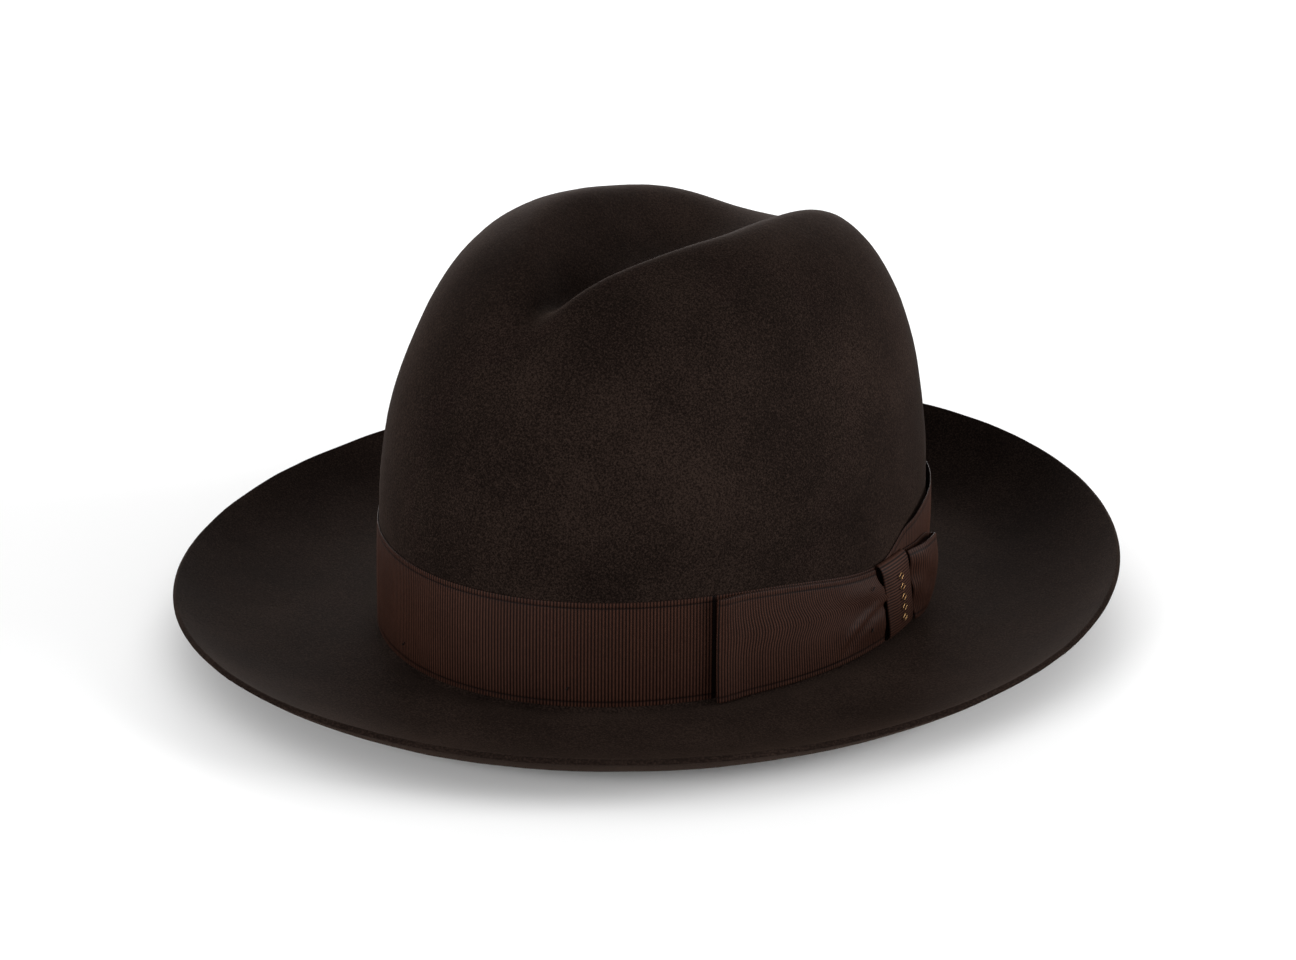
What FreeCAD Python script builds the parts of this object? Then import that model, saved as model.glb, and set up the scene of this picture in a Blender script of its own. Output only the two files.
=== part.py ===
"""Creased felt fedora with a grosgrain hatband, a flat side bow, a leather sweatband and a satin lining.

Row frame, millimetres: +Z up, -Y is the front of the hat and +X the wearer's left, where the bow sits.
The origin is the centre of the head opening, in the plane of the break, where crown and brim meet.
Angles run round the hat from the front (0) over the wearer's left (90) to the back (180), in degrees.
Depth is measured from the felt's outer face: positive stands off it, negative lies inside the crown.
"""
import FreeCAD, Part
import math
import os

# ---- driving dimensions: the felt body -------------------------------------------------------
HALF_LENGTH = 105.4          # outer face of the crown at the break, front to centre
HALF_WIDTH = 86.2            # outer face of the crown at the break, side to centre
EGG = 0.01                   # how much narrower the front of the oval is than the back
CROWN_HEIGHT = 139.0         # open crown, before the top is creased
SHOULDER = 3.06              # roundness of the crown in plan against height: more is boxier
SHOULDER_FRONT = -0.9        # change of that roundness in front: the front slopes, the back stands up
SHOULDER_SIDE = -0.17        # and its change at front and back together
WALL_POWER = 3.29            # straightness of the wall
TILT = 0.058                 # rise of the crown top towards the front, per mm
SAG = 1.0                    # fall of the crown top 100 mm from its middle

CREASE_DEPTH = 24.4
CREASE_HALF_WIDTH = 37.5     # crest to centre line, over the back half
CREASE_PINCH = 29.7          # how much narrower the crease gets at its front end
CREASE_PINCH_RUN = 82.4      # from the middle of the hat to where the crease is narrowest
CREASE_CREST = 1.26          # crispness of the crease's crests
CREASE_FRONT, CREASE_FRONT_RUN = 82.4, 52.0    # where it starts, and how far it takes to deepen
CREASE_BACK, CREASE_BACK_RUN = 104.9, 89.0
# Where the top, shaped by hand, rises over the plain form: x, forward, rise, spread in x, spread forward.
HAND_SHAPING = (
    (49.0, -62.0, 3.1, 21.0, 25.0),
    (-35.0, -33.0, -2.6, 25.0, 33.0),
    (-41.0, -82.0, 3.6, 25.0, 23.0),
    (14.0, 68.0, 2.4, 14.0, 19.0),
)

PINCH_DEPTH = 4.5            # shallow dent on each side of the crown
PINCH_AT, PINCH_SPREAD = 77.0, 24.0
PINCH_HEIGHT, PINCH_RISE = 94.0, 18.0

BRIM_HALF_LENGTH = 168.5
BRIM_HALF_WIDTH = 153.4
BRIM_SHIFT = -2.0            # the brim is this much longer in front than behind
EDGE_HEIGHT = 15.6           # mean height of the brim's edge over the break
EDGE_FRONT, EDGE_SADDLE = -4.0, 1.7
CURL = 5.0                   # how late the brim curls up towards its edge
CURL_SHARE = 0.72            # share of the rise that comes in the late curl
DIP = 1.2                    # sag of the brim between break and curl
EDGE_ROUND = 0.8             # how far the rounded raw edge stands out
FELT = 2.0                   # felt thickness

# ---- driving dimensions: trimmings -----------------------------------------------------------
GAP = 0.12                   # air between layers that lie on each other
RIBBON = 0.5                 # grosgrain thickness
BAND_LOW, BAND_HIGH = 1.2, 38.2
BAND_LEVEL = 1.6             # keeps its top edge level, where heights run further up in front
BAND_TILT = 1.0              # how much higher the top edge is on the side with the bow
KNOT_PULL = 8.5              # how far the knot draws the band's top edge down
PULL_AT = 92.0
PULL_AHEAD, PULL_BEHIND = 20.0, 8.0       # spread of this pull on either side, in degrees

BOW_FRONT, BOW_BACK = 51.5, 117.0
BOW_LOW = 0.9
WING_INSET = 0.3             # the front wing's top edge under the band's
KNOT_FRONT, KNOT_BACK = 90.5, 100.5    # the knot's edges at its top
KNOT_SLANT = 4.0                       # how far its lower end leans back, in degrees
KNOT_LOW, KNOT_HIGH = 0.6, 30.2
WING_THICKNESS = 1.3         # a ribbon folded double, with air in the fold
WING_END_GAP = 0.3           # between a wing's end and the knot, in degrees
FOLD_LIFT, FOLD_SHARE = 1.6, 0.16      # rise of the front fold off the band, over this share of the wing
GATHER = 1.1                 # how much the front wing puffs out where the knot gathers it
GATHER_START, GATHER_RUN = 0.6, 0.3    # as shares of the wing's length
KNOT_THICKNESS = 2.7
KNOT_CROWN = 0.9             # how much fuller the knot is in its middle
LOOP_BULGE = 4.2             # how far the rear loop stands off the band
LOOP_LOW, LOOP_HIGH = 1.5, 29.4
LOOP_ROUND = 4.5             # how much its corners are rounded off at its far end

DIAMONDS = 5                 # in the row of metallic thread down the knot
DIAMOND_LOW, DIAMOND_PITCH = 7.0, 4.0
DIAMOND_HALF_HEIGHT, DIAMOND_HALF_TURN = 1.3, 0.9
METAL_THREAD = 0.14          # its radius
METAL_LIFT = 0.25

TACK_BITE_TURN, TACK_BITE_RISE = 0.5, 1.0      # one tack, in degrees round and millimetres up
TACK_LIFT = 1.0
BOW_TACKS = ((53.5, 34.4), (53.5, 4.8), (87.5, 23.0), (87.5, 8.5))
HATBAND_TACKS = (22.0, 160.0, 200.0, 245.0, 290.0, 338.0)
HATBAND_TACK_HEIGHT = 7.0

LINING = 0.3                 # satin thickness
LINING_LOW, LINING_SEAM = 14.0, 103.0
TIP_START = 105.0
PIPING_RADIUS = 0.8
SHIELD = 0.2                 # clear film under the lining tip
SHIELD_SPREAD = 0.52         # share of the crown oval that the film covers
SHIELD_STITCHES = 24
SHIELD_STITCH_TURN = 3.0     # degrees
SHIELD_STITCH_INSET = 0.02

LEATHER = 1.2
SWEAT_LOW, SWEAT_HIGH = 0.5, 41.0
REED_RADIUS = 0.9
REED_HEIGHT = -0.7
TAPE_LOW, TAPE_HIGH = 0.8, 13.0
STITCH_RADIUS = 0.2
STITCH_LENGTH, STITCH_PITCH = 3.0, 4.5
STITCH_HEIGHT = 3.0
THREAD_GAP = 0.05            # air under a thread
SEAM_LOW, SEAM_HIGH, SEAM_LEVELS = 18.0, 38.0, 11
SEAM_HALF_TURN = 0.9
INNER_BOW_HEIGHT = 9.5       # middle of the small bow at the back of the leather
INNER_BOW_NEAR, INNER_BOW_FAR = 1.3, 9.5       # its loops run between these angles from the back
INNER_BOW_WAIST, INNER_BOW_FLARE = 2.0, 2.6
INNER_BOW_STAND = 0.5
INNER_BOW_THICKNESS, INNER_BOW_PUFF = 0.5, 1.0
INNER_KNOT_HALF_TURN, INNER_KNOT_HALF_HEIGHT, INNER_KNOT_THICKNESS = 1.1, 2.5, 1.5
TAG_THICKNESS = 0.15
TAG_FROM, TAG_TO, TAG_LOW, TAG_HIGH = 152.0, 168.0, 12.0, 30.0

# ---- depths of the layers under the felt's outer face ------------------------------------------
LINING_OUT = -(FELT + GAP)
LINING_IN = LINING_OUT - LINING
TAG_OUT = LINING_IN - GAP
TAG_IN = TAG_OUT - TAG_THICKNESS
SWEAT_OUT = TAG_IN - GAP
SWEAT_IN = SWEAT_OUT - LEATHER

# ---- resolution --------------------------------------------------------------------------------
AROUND = 96                  # control points round the hat
BAND_ROWS = 9                # and up a closed strip
CROWN_ROWS = 34
BRIM_ROWS = 14
STEP = 1e-3                  # step for surface normals
LOWEST_WALL = 0.5            # height under which the wall counts as upright
WALL_TOP = 6.0               # height at which the felt's net passes from wall to top
FIRST_BRIM_ROW = 0.055       # share of the brim's width, for the tight turn at the break
STITCH_EASE = 0.12           # share of a zigzag's bite left out at each of its ends


def smooth(x):
    """Smooth step from 0 at x = 0 to 1 at x = 1."""
    x = min(max(x, 0.0), 1.0)
    return x * x * (3.0 - 2.0 * x)


def bell(x):
    return math.exp(-x * x)


# ---- the felt's outer face ---------------------------------------------------------------------

def crease(x, forward):
    """Depth of the lengthwise crease in the top, at x across and forward along the hat."""
    depth = CREASE_DEPTH * smooth((CREASE_FRONT - forward) / CREASE_FRONT_RUN)
    depth *= smooth((forward + CREASE_BACK) / CREASE_BACK_RUN)
    half_width = CREASE_HALF_WIDTH - CREASE_PINCH * smooth(forward / CREASE_PINCH_RUN)
    across = min(abs(x) / half_width, 1.0)
    return depth * (1.0 + math.cos(math.pi * across ** CREASE_CREST)) / 2.0


def shoulder_power(angle):
    a = math.radians(angle)
    return SHOULDER + SHOULDER_FRONT * math.cos(a) + SHOULDER_SIDE * math.cos(2.0 * a)


def hand_shaping(x, forward):
    return sum(
        rise * bell((x - at_x) / spread_x) * bell((forward - at_forward) / spread_forward)
        for at_x, at_forward, rise, spread_x, spread_forward in HAND_SHAPING)


def crown(angle, climb):
    """Point on the crown's outer face. climb runs from 0 at the break to 1 at the top centre.

    Each meridian is a superellipse in rho, the share of the oval's radius, and zeta, the share of the
    height. climb is the direction of the point, as a share of a right angle, seen from its centre.
    """
    direction = climb * math.pi / 2.0
    across, up = max(math.cos(direction), 0.0), max(math.sin(direction), 0.0)
    power = shoulder_power(angle)
    reach = 1.5
    for _ in range(14):
        excess = (reach * across) ** power + (reach * up) ** WALL_POWER - 1.0
        slope = (power * (reach * across) ** power + WALL_POWER * (reach * up) ** WALL_POWER) / reach
        reach -= excess / slope
    rho, zeta = reach * across, reach * up
    height = CROWN_HEIGHT * zeta
    off_side = (abs(math.remainder(angle, 360.0)) - PINCH_AT) / PINCH_SPREAD
    pinch = PINCH_DEPTH * bell(off_side) * bell((height - PINCH_HEIGHT) / PINCH_RISE)
    rho *= 1.0 - pinch / HALF_WIDTH
    a = math.radians(angle)
    x = HALF_WIDTH * math.sin(a) * (1.0 - EGG * math.cos(a)) * rho
    forward = HALF_LENGTH * math.cos(a) * rho
    z = height + TILT * forward * zeta - SAG * (forward / 100.0 * zeta) ** 2
    z += hand_shaping(x, forward) * zeta ** 3 - crease(x, forward)
    return FreeCAD.Vector(x, -forward, z)


def climb_to(angle, height):
    """climb of the point at this height on the open crown."""
    zeta = height / CROWN_HEIGHT
    rho = (1.0 - zeta ** WALL_POWER) ** (1.0 / shoulder_power(angle))
    return math.atan2(zeta, rho) * 2.0 / math.pi


def climb_at(angle, rho):
    """climb of the point at this share of the oval's radius."""
    zeta = (1.0 - rho ** shoulder_power(angle)) ** (1.0 / WALL_POWER)
    return math.atan2(zeta, rho) * 2.0 / math.pi


def brim(angle, s):
    """Point on the brim's upper face: s is 0 at the break and 1 at the edge."""
    a = math.radians(angle)
    inner = crown(angle, 0.0)
    outer_x = BRIM_HALF_WIDTH * math.sin(a)
    outer_y = BRIM_SHIFT - BRIM_HALF_LENGTH * math.cos(a)
    edge = EDGE_HEIGHT + EDGE_FRONT * math.cos(a) + EDGE_SADDLE * math.cos(2.0 * a)
    rise = (1.0 - CURL_SHARE) * s * s + CURL_SHARE * s ** CURL
    z = edge * rise - DIP * math.sin(math.pi * s) ** 2
    return FreeCAD.Vector(inner.x + (outer_x - inner.x) * s, inner.y + (outer_y - inner.y) * s, z)


def normal(face, angle, u):
    """Outward unit normal of one of the two faces above."""
    du = face(angle, u + STEP) - face(angle, u - STEP)
    da = face(angle + 0.1, u) - face(angle - 0.1, u)
    n = da.cross(du)
    if n.Length < 1e-12:
        return FreeCAD.Vector(0, 0, 1)
    n.normalize()
    return n


def on_crown(angle, climb, depth):
    """Point at this depth from the crown's outer face."""
    if climb > 1.0 - 1e-6:
        return crown(0.0, 1.0) + FreeCAD.Vector(0, 0, depth)
    climb = max(climb, 2.0 * STEP)
    return crown(angle, climb) + normal(crown, angle, climb) * depth


def on_wall(angle, height, depth):
    """Point at this height on the crown's wall, at this depth; below the break it drops straight down."""
    p = on_crown(angle, climb_to(angle, max(height, LOWEST_WALL)), depth)
    if height < LOWEST_WALL:
        p.z += height - LOWEST_WALL
    return p


def on_brim(angle, s, depth):
    n = normal(brim, angle, min(max(s, 2.0 * STEP), 1.0 - 2.0 * STEP))
    if n.z < 0:
        n = n * -1.0
    return brim(angle, s) + n * depth


# ---- surfaces and solids from nets of control points ------------------------------------------

def spline_face(net, closed):
    """Cubic B-spline face with these control points, rows by columns. closed joins the columns round."""
    rows, columns = len(net), len(net[0])
    degree = min(3, rows - 1)
    row_knots = list(range(rows - degree + 1))
    row_mults = [degree + 1] + [1] * (len(row_knots) - 2) + [degree + 1]
    if closed:
        column_degree = 3
        column_knots = list(range(columns + 1))
        column_mults = [1] * (columns + 1)
    else:
        column_degree = min(3, columns - 1)
        column_knots = list(range(columns - column_degree + 1))
        column_mults = [column_degree + 1] + [1] * (len(column_knots) - 2) + [column_degree + 1]
    surface = Part.BSplineSurface()
    surface.buildFromPolesMultsKnots(
        net, row_mults, column_mults, row_knots, column_knots, False, closed, degree, column_degree)
    return surface.toShape()


def solid_of(faces):
    """One closed solid sewn from faces that share their edges."""
    shell = Part.makeShell(faces)
    shell.sewShape()
    solid = Part.makeSolid(Part.Shell(shell.Faces))
    if solid.Volume < 0:
        solid.reverse()
    return solid


def slab(low_net, high_net, closed):
    """Solid between two nets of the same size: both faces and the strips that join their borders."""
    faces = [spline_face(low_net, closed), spline_face(high_net, closed)]
    for row in (0, -1):
        faces.append(spline_face([low_net[row], high_net[row]], closed))
    if not closed:
        for column in (0, -1):
            ends = [[r[column] for r in low_net], [r[column] for r in high_net]]
            faces.append(spline_face(ends, False))
    return solid_of(faces)


def disc(low_net, high_net):
    """Solid between two closed nets whose last row is one point, such as the tip of the lining."""
    rim = spline_face([low_net[0], high_net[0]], True)
    return solid_of([spline_face(low_net, True), spline_face(high_net, True), rim])


def turns(count=AROUND):
    return [360.0 * i / count for i in range(count)]


def spread(first, last, count):
    return [first + (last - first) * i / (count - 1.0) for i in range(count)]


def wall_net(angles, heights, depth):
    return [[on_wall(a, h, depth) for a in angles] for h in heights]


def band(low, high, depth_in, depth_out, rows=BAND_ROWS):
    """Closed strip round the wall, between two heights and two depths."""
    heights = spread(low, high, rows)
    return slab(wall_net(turns(), heights, depth_in), wall_net(turns(), heights, depth_out), True)


def top_net(first, depth, rows):
    """Net over the top of the crown, from the climb that first gives for each angle up to the pole."""
    return [
        [on_crown(a, first(a) + (1.0 - first(a)) * share, depth) for a in turns()]
        for share in spread(0.0, 1.0, rows)]


def ring(height, depth, radius):
    """Cord of round section, laid round the wall."""
    sides = 8
    net = []
    for a in turns():
        middle = on_wall(a, height, depth)
        out = FreeCAD.Vector(middle.x, middle.y, 0)
        out.normalize()
        section = []
        for k in range(sides):
            phase = 2.0 * math.pi * k / sides
            reach = radius * 1.12
            up = FreeCAD.Vector(0, 0, reach * math.sin(phase))
            section.append(middle + out * (reach * math.cos(phase)) + up)
        net.append(section)
    knots = list(range(AROUND + 1))
    section_knots = list(range(sides + 1))
    surface = Part.BSplineSurface()
    surface.buildFromPolesMultsKnots(
        net, [1] * (AROUND + 1), [1] * (sides + 1), knots, section_knots, True, True, 3, 3)
    return solid_of([surface.toShape()])


def thread(start, end, radius=STITCH_RADIUS):
    """One straight bite of thread between two points."""
    along = end - start
    return Part.makeCylinder(radius, along.Length, start, along)


def eased_thread(start, end, radius=STITCH_RADIUS):
    """Bite of thread that stops short of both points, so that it clears the next bite of a zigzag."""
    ease = (end - start) * STITCH_EASE
    return thread(start + ease, end - ease, radius)


# ---- the pieces --------------------------------------------------------------------------------

def felt_body():
    """Crown and brim, blocked from one piece of felt, with a rounded raw edge."""
    s_values = [FIRST_BRIM_ROW] + spread(0.13, 1.0, BRIM_ROWS)
    rims = []
    faces = []
    for depth in (0.0, -FELT):
        net = top_net(lambda a: climb_to(a, WALL_TOP), depth, CROWN_ROWS)
        net.reverse()
        if depth < 0:
            net.append([on_wall(a, 0.0, depth) for a in turns()])
        net.append([on_wall(a, depth, depth) for a in turns()])
        net += [[on_brim(a, s, depth) for a in turns()] for s in s_values]
        faces.append(spline_face(net, True))
        rims.append(net[-1])
    outward = []
    for a in turns():
        n = brim(a, 1.0) - brim(a, 0.97)
        n.normalize()
        outward.append(n * EDGE_ROUND)
    bulge = [[p + n for p, n in zip(rim, outward)] for rim in rims]
    faces.append(spline_face([rims[0], bulge[0], bulge[1], rims[1]], True))
    return solid_of(faces)


def band_top(angle):
    """Height of the hatband's top edge."""
    a = math.radians(angle)
    reach = PULL_AHEAD if angle < PULL_AT else PULL_BEHIND
    pull = KNOT_PULL * bell((angle - PULL_AT) / reach)
    return BAND_HIGH - BAND_LEVEL * math.cos(a) + BAND_TILT * math.sin(a) - pull


def hatband_ribbon():
    nets = []
    for depth in (GAP, GAP + RIBBON):
        nets.append([
            [on_wall(a, BAND_LOW + (band_top(a) - BAND_LOW) * share, depth) for a in turns()]
            for share in spread(0.0, 1.0, BAND_ROWS)])
    return slab(nets[0], nets[1], True)


def bow_patch(first, last, low, high, stand_in, stand_out, columns=11):
    """Piece of ribbon on the wall, u along it and v up it, both from 0 to 1.

    first and last give its ends' angles at v, low and high its edges' heights at u, and stand_in and
    stand_out its two depths at (u, v).
    """
    nets = []
    for depth in (stand_in, stand_out):
        rows = []
        for v in spread(0.0, 1.0, 7):
            row = []
            for u in spread(0.0, 1.0, columns):
                angle = first(v) + (last(v) - first(v)) * u
                height = low(u) + (high(u) - low(u)) * v
                row.append(on_wall(angle, height, depth(u, v)))
            rows.append(row)
        nets.append(rows)
    return slab(nets[0], nets[1], False)


BAND_FACE = GAP + RIBBON     # depth of the hatband's outer face
BOW_FACE = BAND_FACE + GAP   # depth of the bow's inner face


def knot_front(v):
    return KNOT_FRONT + KNOT_SLANT * (1.0 - v)


def knot_back(v):
    return KNOT_BACK + KNOT_SLANT * (1.0 - v)


def bow_front_wing():
    """Flat wing, folded at its front end, which stands a little off the band, and gathered at the knot."""
    def lift(u):
        return FOLD_LIFT * bell(u / FOLD_SHARE)

    def swell(u, v):
        return GATHER * smooth((u - GATHER_START) / GATHER_RUN) * math.sin(math.pi * v) ** 2

    return bow_patch(
        lambda v: BOW_FRONT, lambda v: knot_front(v) - WING_END_GAP,
        lambda u: BOW_LOW,
        lambda u: band_top(BOW_FRONT + (KNOT_FRONT - BOW_FRONT) * u) - WING_INSET,
        lambda u, v: BOW_FACE + lift(u),
        lambda u, v: BOW_FACE + lift(u) + WING_THICKNESS + swell(u, v))


def bow_rear_wing():
    """Puffed loop behind the knot."""
    def bulge(u, v):
        return LOOP_BULGE * math.sin(math.pi * u ** 0.7) * math.sin(math.pi * (0.12 + 0.76 * v))

    return bow_patch(
        lambda v: knot_back(v) + WING_END_GAP, lambda v: BOW_BACK,
        lambda u: LOOP_LOW + LOOP_ROUND * u ** 4,
        lambda u: LOOP_HIGH - LOOP_ROUND * u ** 4,
        lambda u, v: BOW_FACE,
        lambda u, v: BOW_FACE + WING_THICKNESS + bulge(u, v))


def bow_knot():
    """Strap round the bow's waist, leaning back at its lower end."""
    return bow_patch(
        knot_front, knot_back,
        lambda u: KNOT_LOW,
        lambda u: KNOT_HIGH,
        lambda u, v: BOW_FACE,
        lambda u, v: BOW_FACE + KNOT_THICKNESS + KNOT_CROWN * math.sin(math.pi * u) * math.sin(math.pi * v),
        columns=7)


def knot_thread():
    """Metallic thread worked down the middle of the knot: a plain row of small diamonds."""
    solids = []
    tall, wide = DIAMOND_HALF_HEIGHT, DIAMOND_HALF_TURN
    corners = [(0.0, tall), (wide, 0.0), (0.0, -tall), (-wide, 0.0)]
    for k in range(DIAMONDS):
        height = DIAMOND_LOW + DIAMOND_PITCH * k
        v = (height - KNOT_LOW) / (KNOT_HIGH - KNOT_LOW)
        middle = (knot_front(v) + knot_back(v)) / 2.0
        depth = BOW_FACE + KNOT_THICKNESS + KNOT_CROWN * math.sin(math.pi * v) + METAL_LIFT
        points = [on_wall(middle + across, height + up, depth) for across, up in corners]
        for p, q in zip(points, points[1:] + points[:1]):
            solids.append(eased_thread(p, q, METAL_THREAD))
    return Part.makeCompound(solids)


def tack(angle, height, depth):
    end = on_wall(angle + TACK_BITE_TURN, height + TACK_BITE_RISE, depth)
    return thread(on_wall(angle, height, depth), end)


def bow_tacks():
    """Small tacks at the corners of the front wing and beside the knot."""
    depth = BOW_FACE + WING_THICKNESS + STITCH_RADIUS + TACK_LIFT
    return Part.makeCompound([tack(angle, height, depth) for angle, height in BOW_TACKS])


def hatband_tacks():
    """Small tacks that hold the ribbon's lower edge to the felt."""
    depth = BAND_FACE + STITCH_RADIUS + THREAD_GAP
    return Part.makeCompound([tack(angle, HATBAND_TACK_HEIGHT, depth) for angle in HATBAND_TACKS])


def sweatband_stitching():
    """Running stitch through the leather's lower edge, one row all the way round."""
    length = math.pi * (HALF_LENGTH + HALF_WIDTH)
    count = int(length / STITCH_PITCH)
    depth = SWEAT_IN - STITCH_RADIUS - THREAD_GAP
    solids = []
    for k in range(count):
        a = 360.0 * k / count
        b = a + 360.0 * STITCH_LENGTH / length
        solids.append(thread(on_wall(a, STITCH_HEIGHT, depth), on_wall(b, STITCH_HEIGHT, depth)))
    return Part.makeCompound(solids)


def sweatband_back_seam():
    """Zigzag that joins the two ends of the leather at the back."""
    depth = SWEAT_IN - STITCH_RADIUS - THREAD_GAP
    levels = spread(SEAM_LOW, SEAM_HIGH, SEAM_LEVELS)
    solids = []
    for k in range(len(levels) - 1):
        side = SEAM_HALF_TURN if k % 2 else -SEAM_HALF_TURN
        start = on_wall(180.0 - side, levels[k], depth)
        end = on_wall(180.0 + side, levels[k + 1], depth)
        solids.append(eased_thread(start, end))
    return Part.makeCompound(solids)


def sweatband_bow_loops():
    """Two small flat ribbon loops that mark the back of the hat, on the leather."""
    def half(u):
        return INNER_BOW_WAIST + INNER_BOW_FLARE * math.sin(math.pi * (0.08 + 0.85 * u))

    stand = SWEAT_IN - INNER_BOW_STAND
    solids = []
    for side in (-1.0, 1.0):
        solids.append(bow_patch(
            lambda v: 180.0 + side * INNER_BOW_NEAR, lambda v: 180.0 + side * INNER_BOW_FAR,
            lambda u: INNER_BOW_HEIGHT - half(u),
            lambda u: INNER_BOW_HEIGHT + half(u),
            lambda u, v: stand,
            lambda u, v: (
                stand - INNER_BOW_THICKNESS - INNER_BOW_PUFF * math.sin(math.pi * u) * math.sin(math.pi * v)),
            columns=7))
    return Part.makeCompound(solids)


def sweatband_bow_knot():
    return bow_patch(
        lambda v: 180.0 - INNER_KNOT_HALF_TURN, lambda v: 180.0 + INNER_KNOT_HALF_TURN,
        lambda u: INNER_BOW_HEIGHT - INNER_KNOT_HALF_HEIGHT,
        lambda u: INNER_BOW_HEIGHT + INNER_KNOT_HALF_HEIGHT,
        lambda u, v: SWEAT_IN - INNER_BOW_STAND,
        lambda u, v: SWEAT_IN - INNER_BOW_STAND - INNER_KNOT_THICKNESS,
        columns=5)


def size_tag():
    return bow_patch(
        lambda v: TAG_FROM, lambda v: TAG_TO,
        lambda u: TAG_LOW,
        lambda u: TAG_HIGH,
        lambda u, v: TAG_IN,
        lambda u, v: TAG_OUT,
        columns=7)


def lining_side_panel():
    return band(LINING_LOW, LINING_SEAM, LINING_IN, LINING_OUT, rows=26)


def tip_start(angle):
    return climb_to(angle, TIP_START)


def lining_tip():
    return disc(top_net(tip_start, LINING_IN, 22), top_net(tip_start, LINING_OUT, 22))


def lining_piping():
    return ring((LINING_SEAM + TIP_START) / 2.0, LINING_IN - GAP - PIPING_RADIUS, PIPING_RADIUS)


def shield_edge(angle):
    return climb_at(angle, SHIELD_SPREAD)


def tip_shield():
    outer = LINING_IN - GAP
    return disc(top_net(shield_edge, outer - SHIELD, 16), top_net(shield_edge, outer, 16))


def tip_shield_stitches():
    """Single stitches that hold the clear film to the lining tip."""
    rho = SHIELD_SPREAD - SHIELD_STITCH_INSET
    depth = LINING_IN - GAP - SHIELD - STITCH_RADIUS - THREAD_GAP
    solids = []
    for a in turns(SHIELD_STITCHES):
        b = a + SHIELD_STITCH_TURN
        solids.append(thread(on_crown(a, climb_at(a, rho), depth), on_crown(b, climb_at(b, rho), depth)))
    return Part.makeCompound(solids)


PIECES = {
    "felt_body": felt_body,
    "hatband_ribbon": hatband_ribbon,
    "hatband_tacks": hatband_tacks,
    "bow_front_wing": bow_front_wing,
    "bow_rear_wing": bow_rear_wing,
    "bow_knot": bow_knot,
    "bow_tacks": bow_tacks,
    "knot_thread": knot_thread,
    "sweatband_leather": lambda: band(SWEAT_LOW, SWEAT_HIGH, SWEAT_IN, SWEAT_OUT),
    "sweatband_reed": lambda: ring(REED_HEIGHT, SWEAT_IN + 0.4, REED_RADIUS),
    "sweatband_tape": lambda: band(TAPE_LOW, TAPE_HIGH, LINING_IN, LINING_OUT, rows=5),
    "sweatband_stitching": sweatband_stitching,
    "sweatband_back_seam": sweatband_back_seam,
    "sweatband_bow_loops": sweatband_bow_loops,
    "sweatband_bow_knot": sweatband_bow_knot,
    "size_tag": size_tag,
    "lining_side_panel": lining_side_panel,
    "lining_tip": lining_tip,
    "lining_piping": lining_piping,
    "tip_shield": tip_shield,
    "tip_shield_stitches": tip_shield_stitches,
}

os.makedirs("parts", exist_ok=True)
for name, build in PIECES.items():
    shape = build()
    for solid in shape.Solids:
        if not solid.isValid() or solid.Volume <= 0:
            print("BAD", name, solid.isValid(), round(solid.Volume, 3))
    box = shape.BoundBox
    print(f"{name}: {len(shape.Solids)} solids, {shape.Volume:.1f} mm3, z {box.ZMin:.2f} to {box.ZMax:.2f}")
    shape.exportStep(f"parts/{name}.step")
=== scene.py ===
"""Looks of a dark brown felt fedora: felt nap, ribbed ribbon with a flat side bow, leather and satin inside.

Metres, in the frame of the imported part: +Z up, -Y the front of the hat, +X the wearer's left. Angles run
round the hat in degrees, from the front (0) over the wearer's left (90) to the back (180).
"""

import math

import bpy
import numpy as np
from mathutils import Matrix, Quaternion, Vector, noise
from mathutils.bvhtree import BVHTree


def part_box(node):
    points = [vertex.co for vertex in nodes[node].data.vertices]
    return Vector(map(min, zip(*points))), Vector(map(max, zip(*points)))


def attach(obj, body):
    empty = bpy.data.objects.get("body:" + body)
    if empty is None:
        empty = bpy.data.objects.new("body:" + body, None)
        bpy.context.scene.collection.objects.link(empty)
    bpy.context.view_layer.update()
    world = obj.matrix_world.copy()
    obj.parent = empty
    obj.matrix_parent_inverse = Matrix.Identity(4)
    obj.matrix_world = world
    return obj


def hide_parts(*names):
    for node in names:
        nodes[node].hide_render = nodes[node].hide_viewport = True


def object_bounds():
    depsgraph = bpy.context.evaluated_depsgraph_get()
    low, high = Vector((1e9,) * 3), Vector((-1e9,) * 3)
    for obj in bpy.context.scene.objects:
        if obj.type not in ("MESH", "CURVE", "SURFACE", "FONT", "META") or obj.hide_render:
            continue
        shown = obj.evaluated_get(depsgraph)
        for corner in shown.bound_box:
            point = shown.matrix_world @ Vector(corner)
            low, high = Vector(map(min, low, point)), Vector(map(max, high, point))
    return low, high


MM = 0.001

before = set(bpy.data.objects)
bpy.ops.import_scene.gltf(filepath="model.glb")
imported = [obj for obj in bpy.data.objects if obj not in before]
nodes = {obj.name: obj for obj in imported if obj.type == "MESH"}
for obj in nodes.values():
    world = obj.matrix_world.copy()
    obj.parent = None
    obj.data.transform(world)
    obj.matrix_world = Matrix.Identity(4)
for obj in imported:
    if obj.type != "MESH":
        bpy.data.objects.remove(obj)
cad_low, cad_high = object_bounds()


def smooth(x):
    x = np.clip(x, 0.0, 1.0)
    return x * x * (3.0 - 2.0 * x)


def bell(x):
    return np.exp(-np.square(x))


# ---- the crown's wall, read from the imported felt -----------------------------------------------
# The radius of the wall is sampled with rays and kept as a smooth series in angle and height.

WALL_LOW, WALL_HIGH = 10 * MM, 62 * MM
HARMONICS, POWERS = 18, 5      # of the series, in angle and in height
SAMPLES_ROUND, SAMPLES_UP = 180, 14
OUTSIDE_WALL = 1.12            # rays start this far out, inside the brim's rise

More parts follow.
